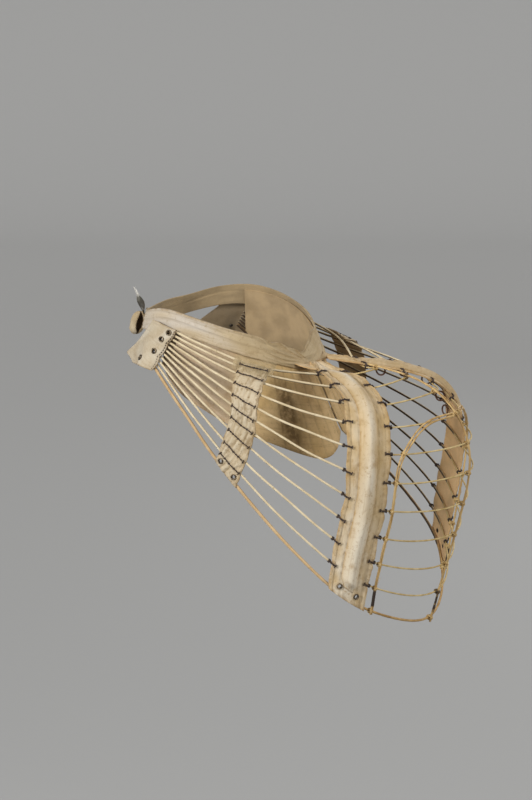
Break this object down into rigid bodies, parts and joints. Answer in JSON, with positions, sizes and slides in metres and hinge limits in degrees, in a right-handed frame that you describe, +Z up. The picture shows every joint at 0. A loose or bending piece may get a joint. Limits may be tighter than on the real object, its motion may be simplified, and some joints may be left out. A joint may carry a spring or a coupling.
{
  "type": "bustle",
  "caption": "Worn bustle: a cage of thin hoops fans back from hip tabs, held by boned side bands, canes and a hooked waistband, to hold a skirt out behind.",
  "frame": {"origin": "centre of the waist that the waistband goes round", "axes": "+X towards the wearer's left, +Y towards the wearer's back, +Z up"},
  "size_m": [0.325, 0.4161, 0.3744],
  "materials": {
    "tape": "washed cotton tape, creased and stained",
    "yoke_cloth": "aged cotton twill",
    "band_cloth": "aged cream cotton",
    "patch_cloth": "aged cream canvas",
    "net": "faded open net",
    "tab_leather": "pale worn leather",
    "covered_hoop": "steel wire closely wound with cotton",
    "cane": "golden cane",
    "lashing": "waxed thread",
    "thread": "dark brown waxed thread",
    "eyelet": "darkened brass",
    "ring": "dark bound rings",
    "bone_steel": "flat spring steel",
    "hook_metal": "dull tinned steel"
  },
  "bodies": {
    "root": {"arch_lashings_left": "lashing", "arch_lashings_right": "lashing", "arch_rib_left": "cane", "arch_rib_right": "cane", "back_gusset_left": "band_cloth", "back_gusset_right": "band_cloth", "band_bone_left": "bone_steel", "band_bone_right": "bone_steel", "band_casing_left": "band_cloth", "band_casing_right": "band_cloth", "band_eyelets_left": "eyelet", "band_eyelets_right": "eyelet", "belt_hook": "hook_metal", "belt_loop": "tape", "centre_lashings": "lashing", "centre_rib": "cane", "front_edge_stitches_left": "thread", "front_edge_stitches_right": "thread", "front_tab_left": "tab_leather", "front_tab_right": "tab_leather", "hip_patch_left": "patch_cloth", "hip_patch_right": "patch_cloth", "hip_yoke_left": "yoke_cloth", "hip_yoke_right": "yoke_cloth", "hoop_01": "covered_hoop", "hoop_02": "covered_hoop", "hoop_03": "covered_hoop", "hoop_04": "covered_hoop", "hoop_05": "covered_hoop", "hoop_06": "covered_hoop", "hoop_07": "covered_hoop", "hoop_08": "covered_hoop", "hoop_09": "covered_hoop", "hoop_10": "covered_hoop", "lacing_rings_left": "ring", "lacing_rings_right": "ring", "net_overlay": "net", "patch_eyelets_left": "eyelet", "patch_eyelets_right": "eyelet", "patch_stitches_left": "thread", "patch_stitches_right": "thread", "rear_edge_stitches_left": "thread", "rear_edge_stitches_right": "thread", "rim_hoop": "cane", "side_band_left": "band_cloth", "side_band_right": "band_cloth", "tab_eyelets_left": "eyelet", "tab_eyelets_right": "eyelet", "waistband": "tape"}
  },
  "joints": []
}
